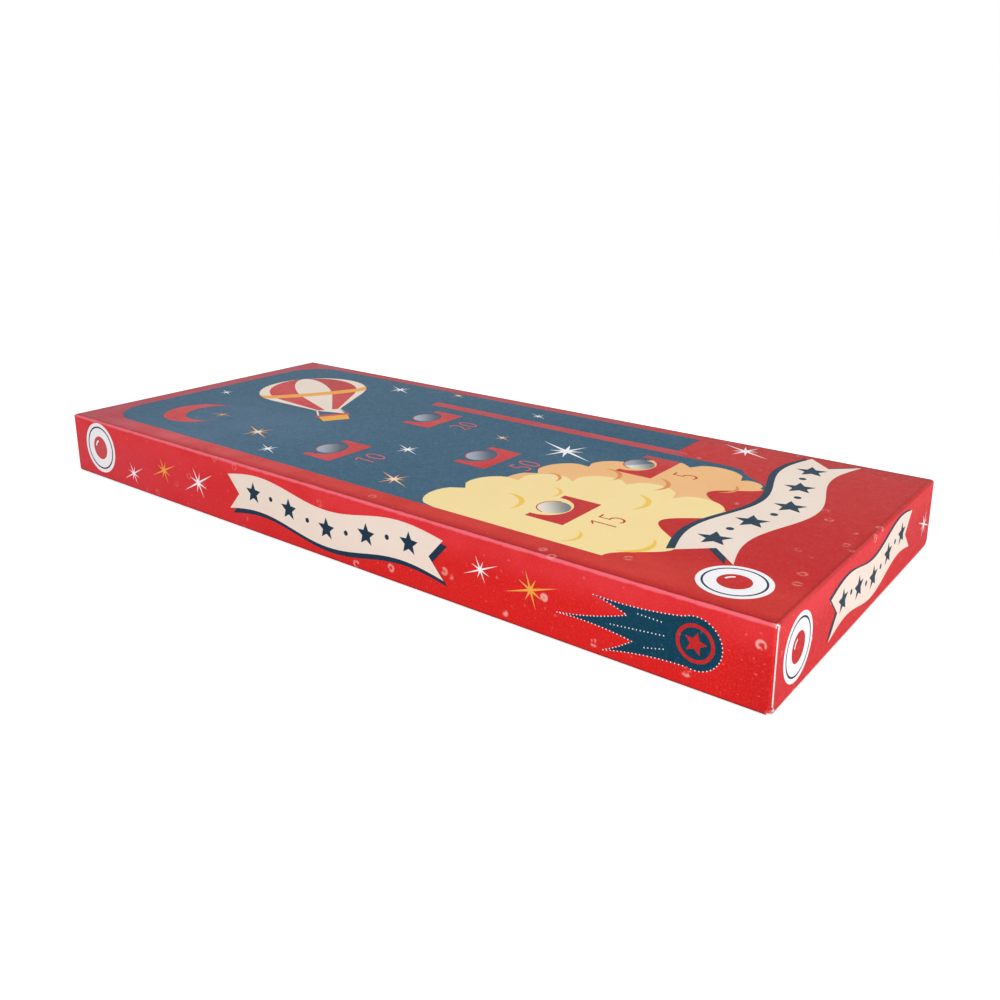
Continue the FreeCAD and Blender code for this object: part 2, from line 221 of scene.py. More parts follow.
def roughened(tree, shader, value, strength, depth):
    bump = add_node(tree, "ShaderNodeBump")
    bump.inputs["Strength"].default_value = strength
    bump.inputs["Distance"].default_value = depth
    tree.links.new(value, bump.inputs["Height"])
    tree.links.new(bump.outputs[0], shader.inputs["Normal"])


def mottled(tree, colour, lighter, darker):
    """An ink that lies a little unevenly, with fine paler pinholes."""
    colour = blended(tree, ramp(tree, grain(tree, 55), 0.35, 0.7, 0, 0.4), colour, darker)
    colour = blended(tree, ramp(tree, grain(tree, 1500, 5), 0.45, 0.75, 0, 0.25), colour, lighter)
    return blended(tree, ramp(tree, grain(tree, 620, 2), 0.68, 0.74, 0, 0.8), colour, lighter)


def varnished(tree, shader, colour):
    """Ink under a satin varnish, which follows the paper's grain and shines unevenly."""
    tree.links.new(colour, shader.inputs["Base Color"])
    tree.links.new(ramp(tree, grain(tree, 400), 0.3, 0.7, 0.48, 0.55), shader.inputs["Roughness"])
    roughened(tree, shader, grain(tree, 1900, 4), 0.12, 0.05 * mm)


def place_along(tree, axis):
    coordinates = add_node(tree, "ShaderNodeTexCoord")
    split = add_node(tree, "ShaderNodeSeparateXYZ")
    tree.links.new(coordinates.outputs["Object"], split.inputs[0])
    return split.outputs[axis]


def eased_along(tree, axis, low, high, start=0.0, end=1.0):
    """Eases from start to end between two shares of the carton's reach along an axis."""
    reach = {"X": half_length, "Y": half_width, "Z": height}[axis]
    return ramp(tree, place_along(tree, axis), low * reach, high * reach, start, end)


def depth_below(tree, axis):
    """How far a point lies inside the carton's two faces across an axis."""
    middle, half = {"X": (0, half_length), "Y": (0, half_width), "Z": (height / 2, height / 2)}[axis]
    centred = arithmetic(tree, "SUBTRACT", place_along(tree, axis), middle)
    return arithmetic(tree, "SUBTRACT", half, arithmetic(tree, "ABSOLUTE", centred, 0))


def off_the_face(tree, axis, start=0.0, end=1.0):
    """Eases from start, on the two faces across an axis, to end, round the creases from them."""
    return ramp(tree, depth_below(tree, axis), 0.3 * mm, 1.2 * mm, start, end)


def distance_to_edges(tree, axes):
    """How far a point is from the carton's edges: two axes give its long edges, three its corners."""
    total = 0.0
    for axis in axes:
        inside = arithmetic(tree, "MAXIMUM", depth_below(tree, axis), 0)
        total = arithmetic(tree, "ADD", total, arithmetic(tree, "POWER", inside, 2.0))
    return arithmetic(tree, "SQRT", total, 0)


def scored(tree, colour, darker):
    """Painted shade in a dark line on the top just behind its folds, where the creasing rule leaves its
    groove.
    """
    for axis, strength in (("X", 0.4), ("Y", 0.6)):
        on_top = ramp(tree, depth_below(tree, "Z"), 0.15 * mm, 0.4 * mm, strength, 0)
        depth = depth_below(tree, axis)
        into_groove = ramp(tree, depth, 0.9 * mm, 1.3 * mm)
        out_of_groove = ramp(tree, depth, 1.6 * mm, 2.6 * mm, 1, 0)
        colour = blended(tree, product(tree, on_top, into_groove, out_of_groove), colour, darker)
    return colour


def scuffed(tree, colour, pale):
    """Small broken rings, in patches, where the varnish was knocked."""
    coordinates = add_node(tree, "ShaderNodeTexCoord")
    cells = add_node(tree, "ShaderNodeTexVoronoi", feature="F1")
    cells.inputs["Scale"].default_value = 88
    tree.links.new(coordinates.outputs["Object"], cells.inputs["Vector"])
    reach = cells.outputs["Distance"]
    ring = product(tree, ramp(tree, reach, 0.05, 0.1, 0.08, 1), ramp(tree, reach, 0.12, 0.18, 1, 0))
    breaks = ramp(tree, grain(tree, 420, 4), 0.42, 0.52, 0, 0.85)
    patches = ramp(tree, grain(tree, 26, 2), 0.38, 0.5)
    handled = eased_along(tree, "X", -0.3, 0.3, 0.25, 1)
    on_sides = off_the_face(tree, "Z", 0.4, 1)
    return blended(tree, product(tree, ring, breaks, patches, handled, on_sides), colour, pale)


def worn(tree, colour, rubbed_and_highlit, bare, shaded):
    """Pales the print along the upper creases, most on the long ones, as rubbed print and painted
    highlight, and wears it off at the corners. Painted contact shadow darkens the creases it stands on."""
    patchy = product(tree, grain(tree, 260, 4), 0.9 * mm)
    off_the_table = ramp(tree, place_along(tree, "Z"), 1.5 * mm, 6 * mm)
    less_at_the_rear = eased_along(tree, "Y", -0.2, 0.5, 1, 0.3)
    # The pale band along the creases is partly rubbed print and partly a painted highlight.
    for axes, strength in (("YZ", 0.9), ("XZ", 0.15), ("XY", 0.3)):
        reach = arithmetic(tree, "SUBTRACT", distance_to_edges(tree, axes), patchy)
        by_the_crease = ramp(tree, reach, 0.15 * mm, 0.8 * mm, strength, 0)
        rub_and_highlight = product(tree, by_the_crease, off_the_table, less_at_the_rear)
        colour = blended(tree, rub_and_highlight, colour, rubbed_and_highlit)
    ragged = product(tree, grain(tree, 900, 5), 3.4 * mm)
    reach = arithmetic(tree, "SUBTRACT", distance_to_edges(tree, "XYZ"), ragged)
    colour = blended(tree, ramp(tree, reach, -0.5 * mm, 0.4 * mm, 0.6, 0), colour, bare)
    # Painted contact shadow: dark red along the creases that the carton stands on.
    contact_shadow_mask = ramp(tree, place_along(tree, "Z"), 0.3 * mm, 1.1 * mm, 0.75, 0)
    return blended(tree, contact_shadow_mask, colour, shaded)


def side_red(tree, painted_sheen):
    """The upright sides, with painted light: paler high up, painted sheen to the far end, painted shade by
    the near corners.
    """
    # Painted sheen: the red turns paler and pinker towards the far end.
    red = blended(tree, painted_sheen, (222, 28, 26), (224, 54, 66))
    # Painted shade: a deeper red by the near corners.
    red = blended(tree, eased_along(tree, "X", 0.88, 0.99), red, (208, 25, 26))
    # Painted light: the end faces get a red of their own, for the light that falls on them.
    red = blended(tree, off_the_face(tree, "X", 1, 0), red, (210, 34, 42))
    # Painted light: a paler red high up on the sides.
    red = blended(tree, eased_along(tree, "Z", 0.5, 0.9), red, (230, 52, 58))
    return mottled(tree, red, (236, 92, 86), (216, 24, 23))


def top_red(tree, painted_sheen):
    """The top: a deeper red than the sides as painted shade, painted sheen along its front and far rim, and
    painted shade along its rear rim.
    """
    # Painted sheen: paler towards the front and the far end.
    painted_top_sheen = product(tree, painted_sheen, eased_along(tree, "Y", -1, 0.4, 0.9, 0))
    red = blended(tree, painted_top_sheen, (196, 31, 30), (204, 70, 80))
    # A paler strip inside the front rim: painted highlight.
    in_strip = product(tree, eased_along(tree, "Y", -0.8, -0.55, 1, 0), eased_along(tree, "Y", -0.97, -0.92))
    front_strip = blended(tree, painted_sheen, (212, 56, 46), (213, 94, 103))
    red = blended(tree, in_strip, red, front_strip)
    # Painted shade: a darker, duller red along the rear rim, where the crease turns away from the light.
    rear_strip = blended(tree, eased_along(tree, "X", 0.1, 0.6), (178, 66, 74), (182, 36, 32))
    red = blended(tree, eased_along(tree, "Y", 0.85, 0.91), red, rear_strip)
    # Painted sheen: a duller, paler red along the far rim.
    red = blended(tree, eased_along(tree, "X", -0.95, -0.62, 1, 0), red, (180, 76, 88))
    return mottled(tree, red, (214, 86, 82), (188, 27, 26))


def printed_red():
    finish, tree, shader = new_finish("red_print_under_varnish", 0.5, 0.1)
    # Painted sheen: this mask pales the red towards the far end.
    painted_sheen = eased_along(tree, "X", -1, 0.2, 1, 0)
    # The top takes a deeper red than the upright sides: painted shade.
    red = blended(tree, off_the_face(tree, "Z"), top_red(tree, painted_sheen), side_red(tree, painted_sheen))
    red = scored(tree, red, (140, 16, 18))
    # Pale pink along the creases is rubbed print and painted highlight; dark red by the table is painted
    # contact shadow.
    red = worn(tree, red, (246, 110, 122), (244, 186, 172), (96, 14, 18))
    varnished(tree, shader, scuffed(tree, red, (246, 178, 168)))
    return finish


def bare_board(name, colour, darker, most=1.0, dragged_ink=None):
    """Bare fibre. On a cut edge the knife has dragged the ink a little way over it."""
    finish, tree, shader = new_finish(name, 0.85, 0.3)
    fibres = ramp(tree, grain(tree, 700, 6, (1, 3, 3)), 0.35, 0.7, 0, most)
    fibre = blended(tree, fibres, colour, darker)
    if dragged_ink:
        ragged = product(tree, grain(tree, 500, 3), 0.2 * mm)
        reach = arithmetic(tree, "SUBTRACT", depth_below(tree, "X"), ragged)
        fibre = blended(tree, ramp(tree, reach, 0.06 * mm, 0.16 * mm), dragged_ink, fibre)
    tree.links.new(fibre, shader.inputs["Base Color"])
    roughened(tree, shader, grain(tree, 1200, 5), 0.25, 0.08 * mm)
    return finish


red_print = printed_red()
board_inside = bare_board("bare_board_inside", (232, 229, 222), (216, 212, 202))
board_edge = bare_board("cut_board_edge", (252, 248, 245), (238, 176, 168), 0.35, dragged_ink=(216, 60, 62))

# ---------------------------------------------------------------- carton sleeve
# Top, front, bottom and rear panels: one sheet creased four times and closed by the glue
# flap. Its ends carry the quarter creases that the closures and the dust flaps fold on.
board = 0.6 * mm
crease_radius = 1.0 * mm
crease_steps = 6
touching = 0.001 * mm
print_inset = 0.06 * mm
flap_step = 0.8 * mm
bottom_step = 0.5 * mm
sleeve_half_width = half_width - print_inset
sleeve_top = height - print_inset
side_end_x = half_length - flap_step - crease_radius
top_end_x = half_length - crease_radius
bottom_end_x = half_length - bottom_step


def pick(kind, chosen):
    """Selects the vertices, edges or faces of the piece in edit mode whose middle is chosen."""
    bpy.ops.mesh.select_mode(type=kind)
    bpy.ops.mesh.select_all(action="DESELECT")
    mesh = bmesh.from_edit_mesh(bpy.context.object.data)
    items = {"VERT": mesh.verts, "EDGE": mesh.edges, "FACE": mesh.faces}[kind]
    for item in items:
        corners = [item] if kind == "VERT" else item.verts
        middle = sum((corner.co for corner in corners), Vector()) / len(corners)
        if chosen(middle, item):
            item.select_set(True)
    mesh.select_flush_mode()
    bmesh.update_edit_mesh(bpy.context.object.data)


def drawn_out(step):
    bpy.ops.mesh.extrude_region_move(TRANSFORM_OT_translate={"value": step})


def folded(angle, centre, axis):
    """Turns the picked edges about a line, and leaves a quarter crease behind them."""
    bpy.ops.mesh.spin(steps=crease_steps, angle=angle, center=centre, axis=axis)


def welded(threshold=touching):
    """Joins the doubled vertices of the piece in edit mode and turns its faces one way."""
    bpy.ops.mesh.select_all(action="SELECT")
    bpy.ops.mesh.remove_doubles(threshold=threshold)
    bpy.ops.mesh.normals_make_consistent(inside=False)


def modified(piece, kind, **settings):
    modifier = piece.modifiers.new(kind.lower(), kind)
    for name, value in settings.items():
        setattr(modifier, name, value)
    bpy.context.view_layer.objects.active = piece
    bpy.ops.object.modifier_apply(modifier=modifier.name)


def named(piece, name, *finishes):
    piece.name = name
    piece.data.name = name
    for finish in finishes:
        piece.data.materials.append(finish)
    return piece


def thickened_board(piece):
    """Gives a folded sheet the board's thickness, inwards: print outside, bare inside and at its edges."""
    inside, cut = 1, 2
    modified(
        piece, "SOLIDIFY", thickness=board, offset=-1, use_even_offset=True,
        material_offset=inside, material_offset_rim=cut,
    )
    bpy.ops.object.shade_smooth_by_angle(angle=math.radians(35))
    piece.select_set(False)


def dress(finish, *nodes):
    """Gives the frame's own solids a finish."""
    for name in nodes:
        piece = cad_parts[name]
        piece.data.materials.clear()
        piece.data.materials.append(finish)


def on_top_end(middle, end):
    return middle.x * end > side_end_x - touching and middle.z > sleeve_top - crease_radius + touching


def on_top_rim(middle, end):
    return middle.x * end > top_end_x - touching and middle.z > sleeve_top - touching


def on_bottom_end(middle, end):
    return abs(middle.x - end * side_end_x) < touching and middle.z < touching


def on_side_end(middle, edge, end, side):
    upright = abs(edge.verts[0].co.z - edge.verts[1].co.z) > height / 2
    outermost = middle.y * side > sleeve_half_width - touching
    return abs(middle.x - end * side_end_x) < touching and outermost and upright


bpy.ops.mesh.primitive_cube_add(size=1, location=(0, 0, sleeve_top / 2))
sleeve = named(bpy.context.object, "printed_sleeve", red_print, board_inside, board_edge)
sleeve.scale = (2 * side_end_x, 2 * sleeve_half_width, sleeve_top)
bpy.ops.object.transform_apply(location=True, rotation=True, scale=True)
bpy.ops.object.mode_set(mode="EDIT")
pick("FACE", lambda middle, face: abs(face.normal.x) > 0.9)
bpy.ops.mesh.delete(type="FACE")
pick("EDGE", lambda middle, edge: abs(middle.x) < crease_radius)
bpy.ops.mesh.bevel(offset=crease_radius, segments=crease_steps, affect="EDGES")
for end in (1, -1):
    pick("EDGE", lambda middle, edge: on_top_end(middle, end))
    drawn_out((end * (top_end_x - side_end_x), 0, 0))
    pick("EDGE", lambda middle, edge: on_top_rim(middle, end))
    folded(-end * math.pi / 2, (end * top_end_x, 0, sleeve_top - crease_radius), (0, 1, 0))
    pick("EDGE", lambda middle, edge: on_bottom_end(middle, end))
    drawn_out((end * (bottom_end_x - side_end_x), 0, 0))
    for side in (1, -1):
        pick("EDGE", lambda middle, edge: on_side_end(middle, edge, end, side))
        crease_centre = (end * side_end_x, side * (sleeve_half_width - crease_radius), 0)
        folded(end * side * math.pi / 2, crease_centre, (0, 0, 1))
welded()
bpy.ops.object.mode_set(mode="OBJECT")
thickened_board(sleeve)
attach(sleeve, "carton")
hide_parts("carton_top_panel", "carton_front_panel", "carton_rear_panel", "carton_bottom_panel")

dress(board_inside, "carton_glue_flap")

# ---------------------------------------------------------------- tuck ends
# At each end the closure panel hangs on the top panel's crease, and its tuck flap springs
# up inside the carton. Two unprinted dust flaps with bevelled upper edges fold in behind
# it. All are cut and creased in the carton's one sheet of board.
closure_side_gap = 0.8 * mm
closure_slit = 0.03 * mm
tuck_side_gap = 2.0 * mm
tuck_level = 0.85 * mm
tuck_length = 10.0 * mm
tuck_rest_angle = math.radians(15)
tuck_corner_radius = 6.0 * mm
closure_half_width = half_width - closure_side_gap
closure_top = height - crease_radius - closure_slit
tuck_crease_z = tuck_level + crease_radius
tuck_half_width = half_width - tuck_side_gap


def flat_sheet(name, corner, size, standing):
    """A rectangular sheet with one corner at a place. It lies flat, or stands across the carton."""
    bpy.ops.mesh.primitive_plane_add(size=1, location=(0, 0, 0))
    sheet = named(bpy.context.object, name, red_print, board_inside, board_edge)
    sheet.scale = (*size, 1)
    sheet.rotation_euler = (math.pi / 2, 0, math.pi / 2) if standing else (0, 0, 0)
    bpy.ops.object.transform_apply(location=False, rotation=True, scale=True)
    spread = Vector((0, *size)) if standing else Vector((*size, 0))
    sheet.location = Vector(corner) + spread / 2
    bpy.ops.object.transform_apply(location=True, rotation=False, scale=False)
    return sheet


def closure_panel(end_name, end):
    """The panel over an open end, with its lower corners cut back to the tuck flap's width."""
    face_x = end * (half_length - print_inset)
    size = (2 * closure_half_width, closure_top - tuck_crease_z)
    lower_corner = (face_x, -closure_half_width, tuck_crease_z)
    closure = flat_sheet(f"{end_name}_closure", lower_corner, size, standing=True)
    bpy.ops.object.mode_set(mode="EDIT")
    pick("VERT", lambda middle, corner: middle.z < tuck_crease_z + touching)
    corner_cut = (closure_half_width - tuck_half_width) * math.sqrt(2)
    bpy.ops.mesh.bevel(offset=corner_cut, offset_type="WIDTH", segments=1, affect="VERTICES")
    pick("EDGE", lambda middle, edge: middle.z < tuck_crease_z + touching)
    folded(-end * math.pi / 2, (face_x - end * crease_radius, 0, tuck_crease_z), (0, 1, 0))
    welded()
    pick("FACE", lambda middle, face: face.normal.x * end < -0.5)
    if any(face.select for face in bmesh.from_edit_mesh(closure.data).faces):
        bpy.ops.mesh.select_all(action="SELECT")
        bpy.ops.mesh.flip_normals()
    bpy.ops.object.mode_set(mode="OBJECT")
    thickened_board(closure)
    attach(closure, f"{end_name}_closure")
    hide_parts(f"{end_name}_closure_panel")


def tuck_flap(end_name, end):
    """The flap with two rounded corners that holds the closure shut from inside the carton."""
    low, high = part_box(f"{end_name}_tuck_flap")
    root_x = high.x if end > 0 else low.x
    low_x = root_x - tuck_length if end > 0 else root_x
    size = (tuck_length, 2 * tuck_half_width)
    tuck = flat_sheet(f"{end_name}_tuck", (low_x, -tuck_half_width, tuck_level), size, standing=False)
    bpy.ops.object.mode_set(mode="EDIT")
    pick("VERT", lambda middle, corner: middle.x * end < root_x * end - tuck_length / 2)
    bpy.ops.mesh.bevel(offset=tuck_corner_radius, segments=8, affect="VERTICES")
    bpy.ops.mesh.select_all(action="SELECT")
    bpy.ops.mesh.flip_normals()
    bpy.ops.object.mode_set(mode="OBJECT")
    root = Vector((root_x, 0, tuck_level))
    sprung = Matrix.Rotation(end * tuck_rest_angle, 4, "Y")
    tuck.data.transform(Matrix.Translation(root) @ sprung @ Matrix.Translation(-root))
    thickened_board(tuck)
    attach(tuck, f"{end_name}_tuck")
    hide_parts(f"{end_name}_tuck_flap")


for end_name, end in (("near", 1), ("far", -1)):
    closure_panel(end_name, end)
    tuck_flap(end_name, end)
    for side_name in ("rear", "front"):
        dust_flap = f"{end_name}_dust_flap_{side_name}"
        dress(board_inside, dust_flap)

# ---------------------------------------------------------------- printed films
# The artwork is further inks over the red: films under a hundredth of a millimetre thick, each
# layer of them a little higher than the one below. Outlines are in millimetres.
film_step = 0.008
x_axis, y_axis, z_axis = Vector((1, 0, 0)), Vector((0, 1, 0)), Vector((0, 0, 1))
end_face_x = half_length - print_inset
card_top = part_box("playfield_sheet")[1].z
ON_FACE = {
    "top": (sleeve_top * z_axis, x_axis, y_axis, "carton", "printed_board"),
    "front": (-sleeve_half_width * y_axis, x_axis, z_axis, "carton", "printed_board"),
    "rear": (sleeve_half_width * y_axis, -x_axis, z_axis, "carton", "printed_board"),
    "near": (end_face_x * x_axis, y_axis, z_axis, "near_closure", "printed_board"),
    "far": (-end_face_x * x_axis, -y_axis, z_axis, "far_closure", "printed_board"),
    "card": (card_top * z_axis, x_axis, y_axis, "game", "playfield_print"),
}


def printed_ink(name, colour, lighter, darker, *painted_light_shifts):
    """Each shift turns the ink towards another colour over a part of the print, as painted sheen or painted
    shade.
    """
    finish, tree, shader = new_finish(name, 0.5, 0.1)
    for amount, other in painted_light_shifts:
        colour = blended(tree, amount(tree), colour, other)
    varnished(tree, shader, mottled(tree, colour, lighter, darker))
    return finish


def laid_on(piece, face, layer):
    """Places a flat drawing, made in millimetres round the origin, as a film on a face."""
    origin, across, up, body, slot = ON_FACE[face]
    turn = Matrix((across, up, across.cross(up))).transposed().to_4x4()
    film_height = film_step * (layer + 1)
    bpy.ops.object.select_all(action="DESELECT")
    piece.select_set(True)
    bpy.context.view_layer.objects.active = piece
    piece.data.extrude = film_height / 2
    bpy.ops.object.convert(target="MESH")
    piece = bpy.context.object
    bpy.ops.object.mode_set(mode="EDIT")
    welded(film_step / 10)
    bpy.ops.object.mode_set(mode="OBJECT")
    piece.data.transform(Matrix.Translation((0, 0, film_height / 2)))
    piece.data.transform(Matrix.Translation(origin) @ turn @ Matrix.Scale(mm, 4))
    piece.matrix_world = Matrix.Identity(4)
    piece.select_set(False)
    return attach(piece, body)


def film(name, face, layer, ink, outlines):
    """One ink film with any number of closed outlines. An outline inside another is a hole."""
    drawing = bpy.data.curves.new(name, "CURVE")
    drawing.dimensions = "2D"
    drawing.fill_mode = "BOTH"
    for outline in outlines:
        spline = drawing.splines.new("POLY")
        spline.points.add(len(outline) - 1)
        for corner, (x, y) in zip(spline.points, outline):
            corner.co = (x, y, 0, 1)
        spline.use_cyclic_u = True
    piece = bpy.data.objects.new(name, drawing)
    bpy.context.scene.collection.objects.link(piece)
    drawing.materials.append(ink)
    return laid_on(piece, face, layer)


# ---------------------------------------------------------------- playfield print
# The top shows the game's playfield from above, printed in dark blue: a field with rounded
# far corners and a near edge of three bays, and the launch lane behind its red divider.
field_far, field_front, field_rear = -174.8, -67.6, 72.3
field_corner = 21.5
lane_end, lane_front = 85.0, 50.9
divider_start, divider_front, divider_slant = -56.0, 44.8, 1.5
divider_end = lane_end + 5.0
field_under_divider = divider_start + 30.0
bay_tips = (43.0, 9.5, -28.5, -67.6)
bay_tip_x, bay_depth = 119.5, 16.5
bay_shoulder_x = bay_tip_x - 8.0


# Painted light on the top's inks: the red ink pales in the far half and beyond the cups, painted sheen; the
# blue deepens by the lane towards the rear, painted shade, and pales at the far front, painted sheen.
def in_the_far_half(tree):
    return eased_along(tree, "X", -0.5, 0.75, 1, 0)


def beyond_the_cups(tree):
    return eased_along(tree, "Y", 0.3, 0.55)


def by_the_lane(tree):
    return product(tree, eased_along(tree, "X", -0.4, 0.3), eased_along(tree, "Y", 0.1, 0.7))


def at_the_far_front(tree):
    past_the_corner = eased_along(tree, "X", -0.9, -0.65)
    short_of_the_middle = eased_along(tree, "X", -0.55, 0, 1, 0)
    return product(tree, past_the_corner, short_of_the_middle, eased_along(tree, "Y", -0.35, 0.2, 1, 0))


blue_ink = printed_ink(
    "night_blue_ink", (44, 88, 113), (112, 144, 162), (41, 84, 110),
    (by_the_lane, (18, 75, 101)), (at_the_far_front, (65, 101, 127)),
)
brick_ink = printed_ink(
    "red_ink", (200, 36, 33), (216, 88, 84), (190, 29, 28),
    (in_the_far_half, (212, 78, 80)), (beyond_the_cups, (192, 72, 77)),
)


def arc(centre, radius, start, end, steps=12):
    """Points along a circle, from one angle to another in degrees."""
    angles = [math.radians(start + (end - start) * i / steps) for i in range(steps + 1)]
    return [(centre[0] + radius * math.cos(a), centre[1] + radius * math.sin(a)) for a in angles]


def bay_edge(steps=20):
    """The field's near edge, three rounded waves from the launch lane's side to the front."""
    outline = []
    for high, low in zip(bay_tips, bay_tips[1:]):
        for i in range(steps):
            share = i / steps
            wave = 0.5 - 0.5 * math.cos(2 * math.pi * share)
            outline.append((bay_tip_x + bay_depth * wave, high + (low - high) * share))
    return outline + [(bay_tip_x, field_front)]


def playfield():
    """The field and the lane as one outline, slotted between them under most of the divider."""
    far_rear = (field_far + field_corner, field_rear - field_corner)
    far_front = (field_far + field_corner, field_front + field_corner)
    outline = arc(far_front, field_corner, 270, 180) + arc(far_rear, field_corner, 180, 90)
    outline += [(lane_end, field_rear), (lane_end, lane_front)]
    outline += [(field_under_divider, lane_front), (field_under_divider, divider_front)]
    return outline + [(bay_shoulder_x, divider_front)] + bay_edge()


film("print_playfield", "top", 0, blue_ink, [playfield()])
divider = [(divider_start, lane_front), (divider_start + divider_slant, divider_front)]
divider += [(divider_end, divider_front), (divider_end, lane_front)]
film("print_divider", "top", 1, brick_ink, [divider])

# ---------------------------------------------------------------- printed score cups
# Five red blocks stand for the game's cups, each with a round bite out of its far face. In
# the bite lies a hollow for the ball, tinted grey or fawn, with a thin dark red rim.
cup_faces = {20: (-43.8, 24.0), 10: (-42.8, -40.3), 50: (16.4, -8.0), 5: (77.3, 23.4), 15: (77.9, -40.5)}
cup_length, cup_half_width = 16.6, 13.0
hollow_radius, hollow_inset = 6.35, 4.1
rim_gap, rim_width = 0.05, 0.5
bite_radius, bite_inset = 9.8, 1.1
shade_along, shade_across = 0.75, 0.66


def cup_print(face_x, y):
    mouth = math.degrees(math.acos(-bite_inset / bite_radius))
    bite = arc((face_x + bite_inset, y), bite_radius, -mouth, mouth, 24)
    back, rear, front = face_x + cup_length, y + cup_half_width, y - cup_half_width
    return bite + [(face_x, rear), (back, rear), (back, front), (face_x, front)]


film("print_score_cups", "top", 4, brick_ink, [cup_print(*place) for place in cup_faces.values()])


def shaded_hollow(name, light, dark):
    """A tint that deepens across each hollow, from its own map."""
    finish, tree, shader = new_finish(name, 0.45, 0.28)
    across = add_node(tree, "ShaderNodeUVMap", uv_map="across")
    split = add_node(tree, "ShaderNodeSeparateXYZ")
    tree.links.new(across.outputs[0], split.inputs[0])
    slant = arithmetic(tree, "ADD", split.outputs["X"], product(tree, grain(tree, 1500, 4), 0.12))
    tree.links.new(blended(tree, ramp(tree, slant, 0.1, 1.0), light, dark), shader.inputs["Base Color"])
    roughened(tree, shader, grain(tree, 1900, 4), 0.12, 0.05 * mm)
    return finish


def hollow_print(name, layer, ink, points, start=0, end=360):
    """Discs with a map that runs from 0 at their far front to 1 at their near rear side."""
    centres = [(cup_faces[p][0] + hollow_inset, cup_faces[p][1]) for p in points]
    outlines = [arc(centre, hollow_radius, start, end, 40) for centre in centres]
    piece = film(name, "top", layer, ink, outlines)
    across = piece.data.uv_layers.new(name="across")
    for loop in piece.data.loops:
        place = piece.data.vertices[loop.vertex_index].co / mm
        centre = min(centres, key=lambda c: (c[0] - place.x) ** 2 + (c[1] - place.y) ** 2)
        slant = ((place.x - centre[0]) * shade_along + (place.y - centre[1]) * shade_across) / hollow_radius
        across.data[loop.index].uv = (0.5 + slant / 2, 0.5)


def hollow_rim(face_x, y):
    """A thin band round the far side of a hollow."""
    centre = (face_x + hollow_inset, y)
    outer = arc(centre, hollow_radius + rim_width, 100, 262, 20)
    return outer + arc(centre, hollow_radius + rim_gap, 262, 100, 20)


dark_hollow = shaded_hollow("grey_hollow_ink", (158, 170, 184), (44, 66, 88))
pale_hollow = shaded_hollow("pale_hollow_ink", (236, 228, 208), (116, 118, 116))
number_ink = printed_ink("number_red_ink", (186, 46, 30), (204, 90, 74), (178, 40, 26))
hollow_print("print_hollows_dark", 5, dark_hollow, (20, 10, 50))
hollow_print("print_hollows_pale", 5, pale_hollow, (5, 15))
hollow_print("print_hollow_half", 6, dark_hollow, (5,), 48, 228)
film("print_hollow_rims", "top", 6, number_ink, [hollow_rim(*place) for place in cup_faces.values()])

# ---------------------------------------------------------------- printed numbers
# The points that each cup is worth are printed beside it in thin, narrow figures that read
# from the near end: dark red over the clouds, and a paler red over the night sky.
number_gap = 11.6
number_height = 11.8
number_narrowing = 0.76
number_cap_share = 0.729        # height of a numeral in the built-in face, for a size of 1
stroke_thinning = -0.34
flag_reach, flag_drop, flag_width = 2.0, 1.7, 0.9
points_over_cloud = (5, 15)
pale_number_ink = printed_ink("pale_number_ink", (226, 92, 90), (232, 128, 124), (218, 84, 82))


def moved(outline, place, turn=0.0, size=1.0):
    cosine, sine = math.cos(math.radians(turn)) * size, math.sin(math.radians(turn)) * size
    return [(place[0] + x * cosine - y * sine, place[1] + x * sine + y * cosine) for x, y in outline]


def number_print(face, points, place):
    """Sets the points round a place. A leading 1 gets the flag that the built-in face lacks."""
    ink = number_ink if points in points_over_cloud else pale_number_ink
    bpy.ops.object.text_add(location=(0, 0, 0))
    number = bpy.context.object
    number.name = f"print_{face}_number_{points}"
    number.data.body = str(points)
    number.data.align_x = "CENTER"
    number.data.align_y = "CENTER"
    number.data.size = number_height / number_cap_share
    number.data.offset = stroke_thinning
    number.data.resolution_u = 6
    number.data.fill_mode = "BOTH"
    number.data.materials.append(ink)
    piece = laid_on(number, face, 4)
    stem = number_narrowing * min(corner.co.x for corner in piece.data.vertices) / mm
    top = max(corner.co.y for corner in piece.data.vertices) / mm
    narrow = Matrix.Diagonal((number_narrowing, 1, 1, 1))
    turned = Matrix.Translation(Vector((*place, 0)) * mm) @ Matrix.Rotation(math.pi / 2, 4, "Z") @ narrow
    level = Matrix.Translation(ON_FACE[face][0])
    piece.data.transform(level @ turned @ level.inverted())
    if str(points).startswith("1"):
        tip, tip_top = stem - flag_reach, top - flag_drop
        flag = [(stem, top), (tip, tip_top), (tip, tip_top - flag_width), (stem, top - flag_width)]
        film(f"print_{face}_number_flag_{points}", face, 4, ink, [moved(flag, place, 90)])


number_shifts = {20: (0.7, 0.1), 10: (0.5, 0.7), 50: (0, 0.9), 5: (-1.2, -1.4), 15: (-0.2, 0.2)}
for points, (face_x, y) in cup_faces.items():
    shift_x, shift_y = number_shifts[points]
    number_print("top", points, (face_x + cup_length + number_gap + shift_x, y + shift_y))

# ---------------------------------------------------------------- stars
# Sparkling stars of eight thin rays are scattered over the sky, in white ink or in orange
# ink with a cream core. The carton's top and the game's card have them in the same places.
star_turn = -22
star_rays = (1.0, 0.42, 0.62, 0.5) * 2
white_ink = printed_ink("white_ink", (253, 250, 251), (255, 253, 253), (248, 243, 244))
cream_ink = printed_ink("cream_ink", (246, 228, 212), (250, 240, 232), (242, 220, 202))
orange_ink = printed_ink("orange_ink", (246, 174, 72), (250, 204, 130), (240, 162, 60))


